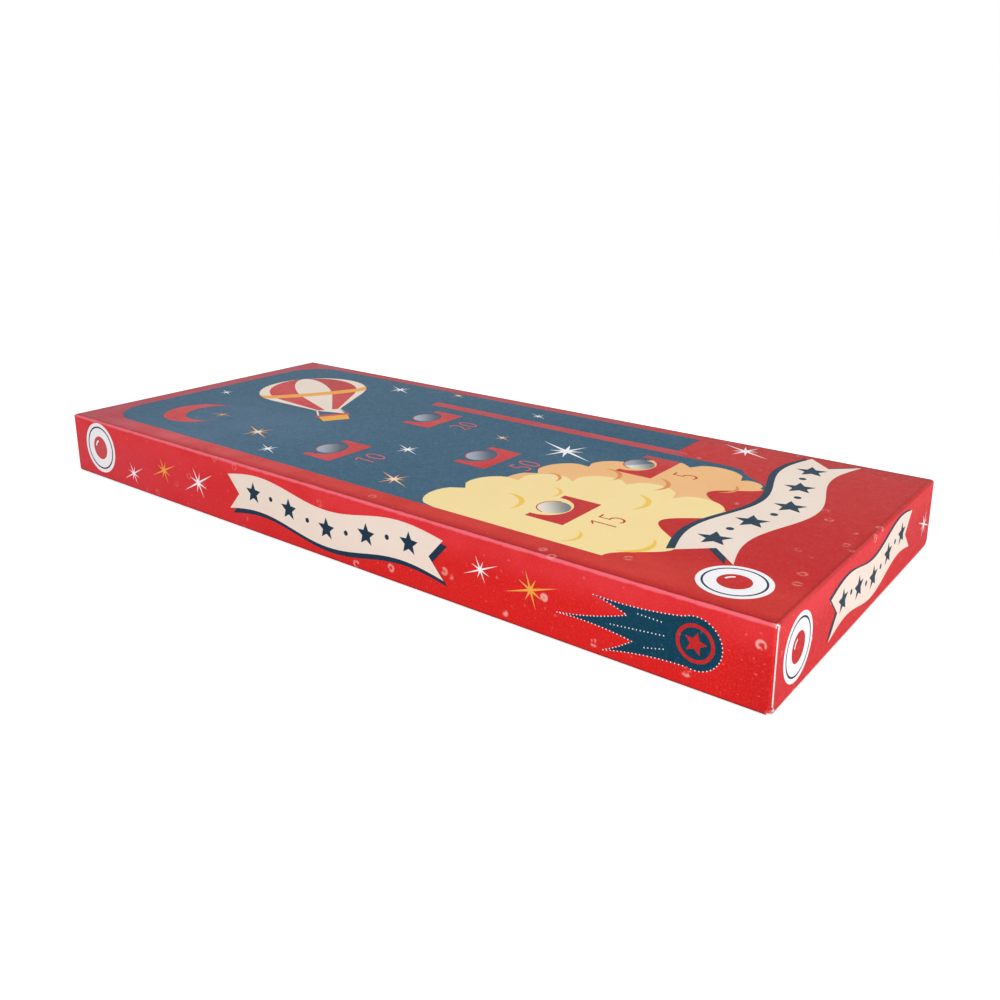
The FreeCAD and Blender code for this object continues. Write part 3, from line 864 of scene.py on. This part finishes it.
def sparkle(place, reach, turn, waist=0.1):
    """A star whose rays differ in length, the two along its tilt being the longest."""
    outline = []
    for i, ray in enumerate(star_rays):
        angle = math.radians(turn + 360 * i / len(star_rays))
        between = angle + math.pi / len(star_rays)
        for length, direction in ((reach * ray, angle), (reach * waist, between)):
            x, y = length * math.cos(direction), length * math.sin(direction)
            outline.append((place[0] + x, place[1] + y))
    return outline


def scattered(stars, size=1.0, waist=0.125):
    return [sparkle(place, reach * size, star_turn, waist) for place, reach in stars.items()]


white_stars = {
    (-90.5, 59.0): 10, (2.5, 60.3): 6, (46.3, 20.3): 18, (-10.8, -20.5): 9, (-60.8, -57.5): 8,
    (-161.8, -3.5): 6, (108.8, 68.3): 13,
}
card_stars = {place: reach for place, reach in white_stars.items() if place[0] < lane_end}
orange_stars = {(-56.3, 68.3): 6, (11.3, 19.5): 6, (-85.8, -43.0): 12, (12.5, -53.5): 11.5}
for face, white in (("top", white_stars), ("card", card_stars)):
    film(f"print_{face}_white_stars", face, 2, white_ink, scattered(white))
    film(f"print_{face}_orange_stars", face, 2, orange_ink, scattered(orange_stars))
    film(f"print_{face}_star_cores", face, 3, cream_ink, scattered(orange_stars, size=0.5, waist=0.2))

# ---------------------------------------------------------------- balloon and moon
# A hot-air balloon of cream and red gores with an orange basket rises past a red crescent.
# Both are printed on the carton's top and on the game's card.
balloon_place, balloon_turn = (-128.0, 29.0), 58.0
balloon_radius = 29.0
balloon_waist = -0.57 * balloon_radius
mouth_half_width, mouth_level = 6.0, -45.0
basket = [(-6.5, -66), (6.5, -66), (7.5, -55), (-7.5, -55)]
basket_rim = [(-8.5, -57.5), (8.5, -57.5), (8.5, -54.5), (-8.5, -54.5)]
ropes = [[(s * 5.4, -45), (s * 6.2, -45), (s * 7.4, -55), (s * 6.4, -55)] for s in (1, -1)]
band_low, band_high = -9.0, -2.0
band_sag, band_overhang = 4.5, 1.01


def balloon_half_width(level):
    """A ball above its waist, and below that a cone down to the mouth."""
    if level > balloon_waist:
        return math.sqrt(max(0.0, balloon_radius ** 2 - level ** 2))
    waist = math.sqrt(balloon_radius ** 2 - balloon_waist ** 2)
    share = (level - mouth_level) / (balloon_waist - mouth_level)
    return mouth_half_width + (waist - mouth_half_width) * share


def gore(left, right, steps=18):
    """The strip of the balloon between two shares of its half width."""
    climbs = [1 - (1 - i / steps) ** 2 for i in range(steps + 1)]
    levels = [mouth_level + (balloon_radius - mouth_level) * climb for climb in climbs]
    up = [(right * balloon_half_width(level), level) for level in levels]
    down = [(left * balloon_half_width(level), level) for level in reversed(levels[:-1])]
    return up + down


def band_edge(level, steps=12):
    """A line round the balloon at a level, sagging in the middle as it comes round the front."""
    line = []
    for i in range(steps + 1):
        across = 1 - 2 * i / steps
        sag = band_sag * math.sqrt(1 - across * across)
        line.append((across * balloon_half_width(level) * band_overhang, level - sag))
    return line


def on_balloon(*outlines):
    return [moved(outline, balloon_place, balloon_turn) for outline in outlines]


band = band_edge(band_low) + band_edge(band_high)[::-1]
crescent = arc((0, 0), 17, 50, 310, 30) + arc((8, 0), 14.0, 292, 68, 24)
for face in ("top", "card"):
    film(f"print_{face}_balloon_cream", face, 1, cream_ink, on_balloon(gore(-1, 1), *ropes))
    film(f"print_{face}_balloon_red", face, 2, brick_ink, on_balloon(gore(-0.81, -0.31), gore(0.31, 0.81)))
    film(f"print_{face}_balloon_orange", face, 3, orange_ink, on_balloon(band, basket))
    film(f"print_{face}_basket_rim", face, 4, brick_ink, on_balloon(basket_rim))
    film(f"print_{face}_crescent", face, 1, brick_ink, [moved(crescent, (-137, -39), 35)])
    film(f"print_{face}_crescent_star", face, 1, orange_ink, [sparkle((-125, -34), 7, 10)])

# ---------------------------------------------------------------- cloud bank
# A bank of pale yellow and tan clouds billows up from the field's near edge, with curls of a
# deeper ink that shade its billows.
tan_ink = printed_ink("tan_ink", (247, 191, 130), (250, 210, 164), (242, 182, 118))
deep_tan_ink = printed_ink("deep_tan_ink", (230, 146, 80), (240, 172, 114), (224, 136, 70))
yellow_ink = printed_ink("pale_yellow_ink", (254, 227, 160), (255, 239, 196), (252, 222, 150))
warm_yellow_ink = printed_ink("warm_yellow_ink", (248, 202, 84), (250, 218, 128), (244, 194, 74))


def bulging(anchors, depth, steps=10, power=0.5):
    """Joins the anchors by curves that swell to the left of their path, round as a cloud's edge
    where the power is a half, and only bowed where it is 1."""
    outline = []
    for (x0, y0), (x1, y1) in zip(anchors, anchors[1:]):
        span_x, span_y = x1 - x0, y1 - y0
        for i in range(steps):
            share = i / steps
            swell = depth * max(0.0, 1 - (2 * share - 1) ** 2) ** power
            outline.append((x0 + span_x * share - span_y * swell, y0 + span_y * share + span_x * swell))
    return outline + [anchors[-1]]


def curl(place, size, turn):
    """A tapered arc that shades the underside of one billow."""
    outer = arc((0, 0), 1.0, 200, 340, 14)
    inner = arc((0, 0.42), 1.18, 322, 218, 12)
    return moved(outer + inner, place, turn, size)


far_cloud = bulging([(56, -34), (54, -12), (66, 8), (80, 21), (100, 33), (124, 30), (134, 26)], 0.36)
near_cloud = bulging([(46, -67.6), (42, -44), (53, -24), (71, -12), (90, -2), (112, -5), (134, -9)], 0.40)
tan_curls = [curl((97, 5), 8, 110), curl((76, 3), 8, 130), curl((60, -14), 6, 140), curl((122, 18), 6, 80)]
yellow_curls = [curl((62, -47), 9, 130), curl((100, -18), 9, 110), curl((121, -52), 9, 70)]
yellow_curls += [curl((100, -60), 6, 90), curl((70, -28), 6, 120)]


def cloud_print(face, edge, tan_holes, yellow_holes):
    """The bank runs on to an edge. The holes leave the card's dimples clear."""
    far_edge = [place for place in edge if -34 < place[1] < 25]
    near_edge = [place for place in edge if place[1] < -10]
    film(f"print_{face}_far_cloud", face, 1, tan_ink, [far_cloud + far_edge, *tan_holes])
    film(f"print_{face}_near_cloud", face, 2, yellow_ink, [near_cloud + near_edge, *yellow_holes])
    film(f"print_{face}_cloud_shades", face, 3, deep_tan_ink, tan_curls)
    film(f"print_{face}_cloud_glows", face, 3, warm_yellow_ink, yellow_curls)


cloud_print("top", bay_edge(), [], [])

# ---------------------------------------------------------------- ribbons and roundels
# Each printed face has an unlettered cream ribbon over its dark blue shadow, with five stars
# and four dots along it, and a white roundel that shows a red ball in a blue ring.
ribbon_waves, ribbon_beads = 1.5, 9
notch_share, bead_star_share, bead_dot_share = 0.45, 0.31, 0.07
five_point_waist = 0.45
ring_outside, ring_inside, ball_share = 0.86, 0.80, 0.46
glint_outside, glint_inside = 0.32, 0.25
slate_ink = printed_ink("shadow_blue_ink", (18, 50, 72), (50, 80, 98), (14, 44, 64))


def disc(centre, radius, steps=72):
    return arc(centre, radius, 0, 360, steps)[:-1]


def five_points(place, reach, turn=18.0):
    outline = []
    for i in range(10):
        ray = reach if i % 2 == 0 else reach * five_point_waist
        angle = math.radians(turn + 36 * i)
        outline.append((place[0] + ray * math.cos(angle), place[1] + ray * math.sin(angle)))
    return outline


def ribbon_middle(share, wave):
    return wave * math.sin(2 * math.pi * ribbon_waves * share)


def ribbon(length, width, wave, steps=40):
    """A waving band with notched ends, drawn along x about the origin."""
    shares = [i / steps for i in range(steps + 1)]
    upper = [(length * (share - 0.5), ribbon_middle(share, wave) + width / 2) for share in shares]
    lower = [(x, y - width) for x, y in reversed(upper)]
    notch_x = length / 2 - width * notch_share
    return [*upper, (notch_x, ribbon_middle(1.0, wave)), *lower, (-notch_x, ribbon_middle(0.0, wave))]


def ribbon_print(face, place, turn, length, width, wave, shadow):
    """A ribbon over its shadow, with stars and dots by turns along its middle."""
    shape = ribbon(length, width, wave)
    shadow_place = (place[0] + shadow[0], place[1] + shadow[1])
    film(f"print_{face}_ribbon_shadow", face, 4, slate_ink, [moved(shape, shadow_place, turn)])
    film(f"print_{face}_ribbon", face, 5, cream_ink, [moved(shape, place, turn)])
    beads = []
    for i in range(ribbon_beads):
        share = (i + 1.5) / (ribbon_beads + 2)
        spot = (length * (share - 0.5), ribbon_middle(share, wave))
        if i % 2 == 0:
            bead = five_points(spot, width * bead_star_share)
        else:
            bead = disc(spot, width * bead_dot_share, 16)
        beads.append(moved(bead, place, turn))
    film(f"print_{face}_ribbon_stars", face, 6, slate_ink, beads)


def roundel_print(face, place, radius):
    ring = [disc(place, radius * ring_outside), disc(place, radius * ring_inside)]
    glint = arc((0, 0), radius * glint_outside, 110, 170, 8) + arc((0, 0), radius * glint_inside, 170, 110, 8)
    film(f"print_{face}_roundel", face, 4, white_ink, [disc(place, radius)])
    film(f"print_{face}_roundel_ring", face, 5, slate_ink, ring)
    film(f"print_{face}_roundel_ball", face, 5, brick_ink, [disc(place, radius * ball_share)])
    film(f"print_{face}_roundel_glint", face, 6, white_ink, [moved(glint, place)])


ribbon_print("top", (146.5, 13.5), 90, 124, 21, 4.5, (-2.6, -1.2))
roundel_print("top", (162.6, -59.8), 12.0)

# ---------------------------------------------------------------- side and end prints
# Both long sides carry a roundel, stars, a ribbon and a teal shooting star with a dotted
# white outline. Both ends carry a smaller ribbon, a roundel and one star.
comet_place, comet_turn = (160.0, 15.4), 7.0
head_radius, tail_root = 8.8, 112.0
tail_tips = [(-35.0, 9.8), (-23.0, 4.9), (-50.0, 1.2), (-22.0, -3.6), (-33.0, -8.6)]
seams = [[(-11.0, 4.9), (-20.0, 6.2)], [(-10.5, 0.5), (-30.0, 0.8)], [(-11.0, -4.0), (-19.0, -5.0)]]
teal_ink = printed_ink("teal_ink", (2, 62, 84), (50, 104, 122), (2, 54, 74))


def stitched(outline, closed=True, spacing=1.35, radius=0.22):
    """Small dots in a row along an outline, or along an open line."""
    dots = []
    carried = 0.0
    ends = outline[1:] + outline[:1] if closed else outline[1:]
    for (x0, y0), (x1, y1) in zip(outline, ends):
        run = math.hypot(x1 - x0, y1 - y0)
        while carried < run:
            share = carried / run
            dots.append(disc((x0 + (x1 - x0) * share, y0 + (y1 - y0) * share), radius, 8))
            carried += spacing
        carried -= run
    return dots


head = arc((0, 0), head_radius, -tail_root, tail_root, 28)
tail = bulging([head[-1], *tail_tips, head[0]], 0.03, 8, power=1.0)[1:-1]
comet = moved(head + tail, comet_place, comet_turn)
stitches = stitched(comet)
for seam in seams:
    stitches += stitched(moved(seam, comet_place, comet_turn), closed=False)

for face in ("front", "rear"):
    roundel_print(face, (-161.9, 15.6), 12.5)
    white = [sparkle((-134.5, 8.0), 9, 27), sparkle((-83.0, 14.2), 12, 28), sparkle((78.0, 16.6), 8.5, 24)]
    film(f"print_{face}_white_stars", face, 2, white_ink, white)
    orange = [sparkle((-109.0, 14.7), 10.5, 24), sparkle((99.5, 15.2), 11.5, 18)]
    film(f"print_{face}_orange_stars", face, 2, orange_ink, orange)
    ribbon_print(face, (0.0, 15.3), 0, 122, 15.5, 2.6, (1.9, -1.8))
    film(f"print_{face}_comet", face, 2, teal_ink, [comet])
    film(f"print_{face}_comet_stitches", face, 4, white_ink, stitches)
    rings = [disc(comet_place, 6.4), disc(comet_place, 5.2), five_points(comet_place, 3.9, comet_turn)]
    film(f"print_{face}_comet_ring", face, 5, brick_ink, rings)

for face in ("near", "far"):
    roundel_print(face, (-62.6, 15.4), 11.2)
    ribbon_print(face, (7.0, 15.0), 3, 86, 15.0, 2.4, (-1.9, 1.0))
    film(f"print_{face}_star", face, 2, white_ink, [sparkle((70.3, 12.6), 9.5, -20)])

# ---------------------------------------------------------------- wooden tray
# The game itself: red painted wooden rails, divider, apron, housing and cups, glued down on
# a birch plywood base and its printed card. The base stands on four rubber pads.
tray_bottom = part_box("base_board")[0].z
bottom_ply, ply_thickness = 0.6 * mm, 1.25 * mm


def painted_wood():
    finish, tree, shader = new_finish("red_painted_wood", 0.34, 0.5)
    fibre = grain(tree, 45, 4, (1, 9, 9))
    paint = blended(tree, ramp(tree, fibre, 0.3, 0.75), (196, 34, 32), (178, 26, 26))
    paint = blended(tree, ramp(tree, grain(tree, 900, 3), 0.74, 0.8, 0, 0.5), paint, (226, 110, 96))
    tree.links.new(paint, shader.inputs["Base Color"])
    tree.links.new(ramp(tree, grain(tree, 120), 0.3, 0.7, 0.28, 0.44), shader.inputs["Roughness"])
    roughened(tree, shader, fibre, 0.18, 0.2 * mm)
    return finish


def plywood():
    """Birch veneers, with a dark line of glue between each two of them."""
    finish, tree, shader = new_finish("birch_plywood", 0.62, 0.4)
    veins = ramp(tree, grain(tree, 60, 6, (1, 12, 1)), 0.3, 0.7)
    above_first_ply = arithmetic(tree, "SUBTRACT", place_along(tree, "Z"), tray_bottom + bottom_ply)
    ply = arithmetic(tree, "DIVIDE", above_first_ply, ply_thickness)
    glue_line = ramp(tree, arithmetic(tree, "FRACT", ply, 0), 0.82, 0.9, 0, 0.7)
    wood = blended(tree, glue_line, blended(tree, veins, (226, 196, 150), (202, 166, 116)), (140, 98, 62))
    tree.links.new(wood, shader.inputs["Base Color"])
    roughened(tree, shader, grain(tree, 300, 5, (1, 8, 1)), 0.2, 0.1 * mm)
    return finish


def plain_finish(name, colour, darker, roughness, specular, scale, strength, metallic=0.0):
    finish, tree, shader = new_finish(name, roughness, specular)
    shader.inputs["Metallic"].default_value = metallic
    clouded = blended(tree, ramp(tree, grain(tree, scale, 4), 0.3, 0.7), colour, darker)
    tree.links.new(clouded, shader.inputs["Base Color"])
    roughened(tree, shader, grain(tree, scale * 2.2, 5), strength, 0.08 * mm)
    return finish


red_paint = painted_wood()
black_rubber = plain_finish("black_rubber", (38, 38, 40), (28, 28, 30), 0.7, 0.35, 900, 0.3)
dress(red_paint, "far_rail", "front_rail", "rear_rail", "near_rail")
dress(red_paint, "lane_divider", "scalloped_apron", "plunger_housing")
dress(red_paint, *(f"score_cup_{points}" for points in cup_faces))
dress(plywood(), "base_board")
dress(black_rubber, "foot_pads")

# ---------------------------------------------------------------- playfield card
# The tray's floor is a card printed in the inks of the carton's top, with the points beside
# the wooden cups. It is punched over the dimples, and the print stays clear of its holes.
dimple_inset, punched_radius = 3.8, 6.9
under_apron = 6.0
print_end_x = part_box("scalloped_apron")[1].x / mm - under_apron
dress(blue_ink, "playfield_sheet")
punched = {}
for points in cup_faces:
    low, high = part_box(f"score_cup_{points}")
    cup_y = (low.y + high.y) / 2 / mm
    punched[points] = disc((low.x / mm + dimple_inset, cup_y), punched_radius)
    number_print("card", points, (high.x / mm + number_gap, cup_y))
cloud_print("card", [(print_end_x, y) for y in range(24, -66, -4)], [punched[5]], [punched[15]])

# ---------------------------------------------------------------- plunger and ball
# A drawn steel rod slides through the housing. It carries a rubber tip, a nylon collar for
# the spring and a felt washer behind the knob, and shoots the polished ball up the lane.
drawn_steel = plain_finish("drawn_steel", (196, 197, 200), (170, 171, 175), 0.28, 0.5, 700, 0.08, 1.0)
polished_steel = plain_finish("polished_steel", (226, 227, 230), (214, 215, 218), 0.08, 0.5, 500, 0.02, 1.0)
nylon = plain_finish("nylon", (232, 230, 222), (222, 219, 208), 0.5, 0.5, 400, 0.08)
red_felt = plain_finish("red_felt", (170, 34, 36), (140, 24, 28), 0.95, 0.2, 1600, 0.8)
dress(drawn_steel, "plunger_rod")
dress(black_rubber, "plunger_tip")
dress(polished_steel, "launch_ball")
dress(nylon, "spring_collar")
dress(red_felt, "knob_washer")

# ---------------------------------------------------------------- plunger knob
# The knob is turned from one piece of beech and lacquered: a straight grip with a domed
# end, a flare and a short neck against the washer. It is glued on the rod's near end.
knob_low, knob_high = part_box("plunger_knob")
knob_middle = (knob_low + knob_high) / 2
knob_radius = (knob_high.z - knob_low.z) / 2
neck_radius, neck_length, flare_length = 4.5 * mm, 2.4 * mm, 2.4 * mm
dome, soft_edge = 2.8 * mm, 0.7 * mm
grip_start = knob_low.x + neck_length + flare_length
narrowing = neck_radius / knob_radius


def turned_beech():
    """Lacquered beech, with rings across the lathe's axis and short dark flecks along it."""
    finish, tree, shader = new_finish("lacquered_beech", 0.34, 0.5)
    rings = ramp(tree, grain(tree, 240, 4, (1, 4, 4)), 0.3, 0.7)
    flecks = ramp(tree, grain(tree, 1100, 2, (0.25, 1, 1)), 0.62, 0.7, 0, 0.6)
    wood = blended(tree, flecks, blended(tree, rings, (224, 182, 132), (206, 158, 106)), (164, 112, 70))
    tree.links.new(wood, shader.inputs["Base Color"])
    roughened(tree, shader, grain(tree, 600, 5, (0.3, 1, 1)), 0.1, 0.08 * mm)
    return finish


bpy.ops.mesh.primitive_cylinder_add(
    vertices=64, radius=knob_radius, depth=knob_high.x - grip_start,
    location=((knob_high.x + grip_start) / 2, knob_middle.y, knob_middle.z), rotation=(0, math.pi / 2, 0),
)
knob = named(bpy.context.object, "turned_knob", turned_beech())
bpy.ops.object.transform_apply(location=True, rotation=True, scale=True)
bpy.ops.object.mode_set(mode="EDIT")
pick("FACE", lambda middle, face: middle.x < grip_start + touching)
drawn_out((-flare_length, 0, 0))
bpy.ops.transform.resize(value=(1, narrowing, narrowing), center_override=(0, knob_middle.y, knob_middle.z))
drawn_out((-neck_length, 0, 0))
pick("EDGE", lambda middle, edge: min(corner.co.x for corner in edge.verts) > knob_high.x - touching)
bpy.ops.mesh.bevel(offset=dome, segments=8, affect="EDGES")
pick("EDGE", lambda middle, edge: abs(middle.x - grip_start) < touching)
bpy.ops.mesh.bevel(offset=soft_edge, segments=4, affect="EDGES")
bpy.ops.object.mode_set(mode="OBJECT")
bpy.ops.object.shade_smooth_by_angle(angle=math.radians(50))
knob.select_set(False)
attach(knob, "plunger")
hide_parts("plunger_knob")

# ---------------------------------------------------------------- plunger spring
# The spring is music wire coiled round the rod. Its near end rests on the near rail; the coil
# is built at one fixed length, on the game's body.
spring_low, spring_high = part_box("plunger_spring")
spring_middle = (spring_low + spring_high) / 2
spring_length = spring_high.x - spring_low.x
wire_radius, coils, steps_per_coil = 0.45 * mm, 6.5, 28
coil_radius = (spring_high.z - spring_low.z) / 2 - wire_radius
coil_steps = int(coils * steps_per_coil)
music_wire = plain_finish("music_wire", (186, 188, 192), (158, 160, 165), 0.3, 0.5, 900, 0.08, 1.0)

bpy.ops.mesh.primitive_circle_add(vertices=12, radius=wire_radius)
spring = named(bpy.context.object, "coiled_spring", music_wire)
bpy.ops.object.mode_set(mode="EDIT")
bpy.ops.mesh.select_all(action="SELECT")
bpy.ops.transform.translate(value=(0, coil_radius, 0))
bpy.ops.object.mode_set(mode="OBJECT")
modified(
    spring, "SCREW", axis="X", angle=coils * 2 * math.pi, screw_offset=spring_length - 2 * wire_radius,
    steps=coil_steps, render_steps=coil_steps,
)
spring.location = (spring_low.x + wire_radius, spring_middle.y, spring_middle.z)
bpy.ops.object.transform_apply(location=True, rotation=True, scale=True)
bpy.ops.object.mode_set(mode="EDIT")
bpy.ops.mesh.select_all(action="SELECT")
bpy.ops.mesh.fill_holes(sides=0)
bpy.ops.mesh.normals_make_consistent(inside=False)
bpy.ops.object.mode_set(mode="OBJECT")
bpy.ops.object.shade_smooth_by_angle(angle=math.radians(50))
spring.select_set(False)
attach(spring, "game")
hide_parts("plunger_spring")
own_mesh(spring)
